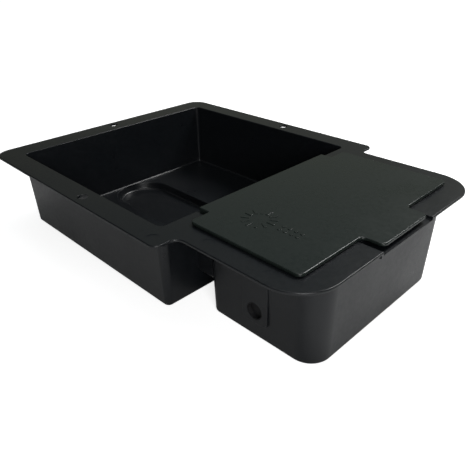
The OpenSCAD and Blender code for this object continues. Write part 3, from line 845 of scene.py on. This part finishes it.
def studio_world(base, glow, bright):
    """Dim surroundings, warm low down and cool high up, brighter towards one direction."""
    world = bpy.data.worlds.new("studio")
    world.use_nodes = True
    tree = world.node_tree
    tree.nodes.clear()
    output = add_node(tree, "ShaderNodeOutputWorld")
    background = add_node(tree, "ShaderNodeBackground")
    place = add_node(tree, "ShaderNodeTexCoord").outputs["Generated"]
    facing = add_node(tree, "ShaderNodeVectorMath", operation="DOT_PRODUCT")
    facing.inputs[1].default_value = Vector(bright).normalized()
    link(tree, place, facing.inputs[0])
    ramp = add_node(tree, "ShaderNodeMapRange", interpolation_type="SMOOTHSTEP")
    ramp.inputs["From Min"].default_value = 0.5
    ramp.inputs["From Max"].default_value = 1.0
    ramp.inputs["To Min"].default_value = base
    ramp.inputs["To Max"].default_value = glow
    link(tree, facing.outputs["Value"], ramp.inputs["Value"])
    split = add_node(tree, "ShaderNodeSeparateXYZ")
    link(tree, place, split.inputs[0])
    tint = add_node(tree, "ShaderNodeValToRGB")
    stops = tint.color_ramp.elements
    stops[0].position, stops[0].color = 0.28, (0.98, 1.0, 0.80, 1.0)
    stops[1].position, stops[1].color = 0.60, (0.80, 0.94, 1.0, 1.0)
    link(tree, split.outputs["Z"], tint.inputs["Fac"])
    link(tree, tint.outputs["Color"], background.inputs["Color"])
    link(tree, ramp.outputs["Result"], background.inputs["Strength"])
    link(tree, background.outputs["Background"], output.inputs["Surface"])
    return world


class TROUGH_OT_stage(bpy.types.Operator):
    """Camera, soft lights, floor and surroundings"""

    bl_idname = "trough.stage"
    bl_label = "Stage"

    def execute(self, context):
        scene = context.scene
        lens = bpy.data.cameras.new("camera")
        lens.sensor_width = 36.0
        lens.lens = 38.56
        lens.clip_end = 100.0
        camera = bpy.data.objects.new("camera", lens)
        scene.collection.objects.link(camera)
        camera.matrix_world = camera_matrix(
            (0.5928, -0.5522, 0.4712), math.radians(45.60), math.radians(29.64),
            math.radians(-1.09))
        scene.camera = camera

        shape = bmesh.new()
        bmesh.ops.create_circle(shape, cap_ends=True, segments=64, radius=15.0)
        floor = mesh_object("floor", shape)
        # painted glow of the floor: 0.76 near the object, 1.0 far from it
        floor.data.materials.append(floor_material(scene.trough_colours.floor, 0.76, 1.0))

        middle = (0.0, 0.0, 0.1)
        soft_box("key", (0.52, 1.56, 2.0), middle, (0.9, 0.9), 40.0)
        soft_box("front", (1.6, -1.1, 0.9), middle, (0.8, 0.8), 22.0)
        soft_box("overhead", (-0.1, -0.1, 2.4), middle, (1.4, 1.4), 8.0)
        scene.world = studio_world(0.05, 0.20, (-0.6, 1.0, 0.35))
        scene.view_settings.view_transform = "Standard"
        return {"FINISHED"}


# ---------------------------------------------------------------- add-on


class TROUGH_PT_panel(bpy.types.Panel):
    """Lists the pieces of the trough and their settings"""

    bl_idname = "TROUGH_PT_panel"
    bl_label = "Water trough"
    bl_space_type = "VIEW_3D"
    bl_region_type = "UI"
    bl_category = "Trough"

    def draw(self, context):
        layout = self.layout
        for maker in MAKERS:
            layout.operator(maker.bl_idname)
        for group in (context.scene.trough_sizes, context.scene.lid_sizes,
                      context.scene.trough_colours):
            box = layout.box()
            for name in group.__annotations__:
                box.prop(group, name)


MAKERS = (
    TROUGH_OT_stage,
    TROUGH_OT_tub,
    TROUGH_OT_lid,
    TROUGH_OT_plugs,
    TROUGH_OT_valve,
    TROUGH_OT_float,
)
CLASSES = (TroughSizes, LidSizes, TroughColours, *MAKERS, TROUGH_PT_panel)


def register():
    for item in CLASSES:
        bpy.utils.register_class(item)
    bpy.types.Scene.trough_sizes = bpy.props.PointerProperty(type=TroughSizes)
    bpy.types.Scene.lid_sizes = bpy.props.PointerProperty(type=LidSizes)
    bpy.types.Scene.trough_colours = bpy.props.PointerProperty(type=TroughColours)


def unregister():
    del bpy.types.Scene.trough_colours
    del bpy.types.Scene.lid_sizes
    del bpy.types.Scene.trough_sizes
    for item in reversed(CLASSES):
        bpy.utils.unregister_class(item)


def main():
    register()
    bpy.ops.trough.stage()
    bpy.ops.trough.tub()
    bpy.ops.trough.lid()
    bpy.ops.trough.plugs()
    bpy.ops.trough.valve()
    bpy.ops.trough.float()


if __name__ == "__main__":
    main()
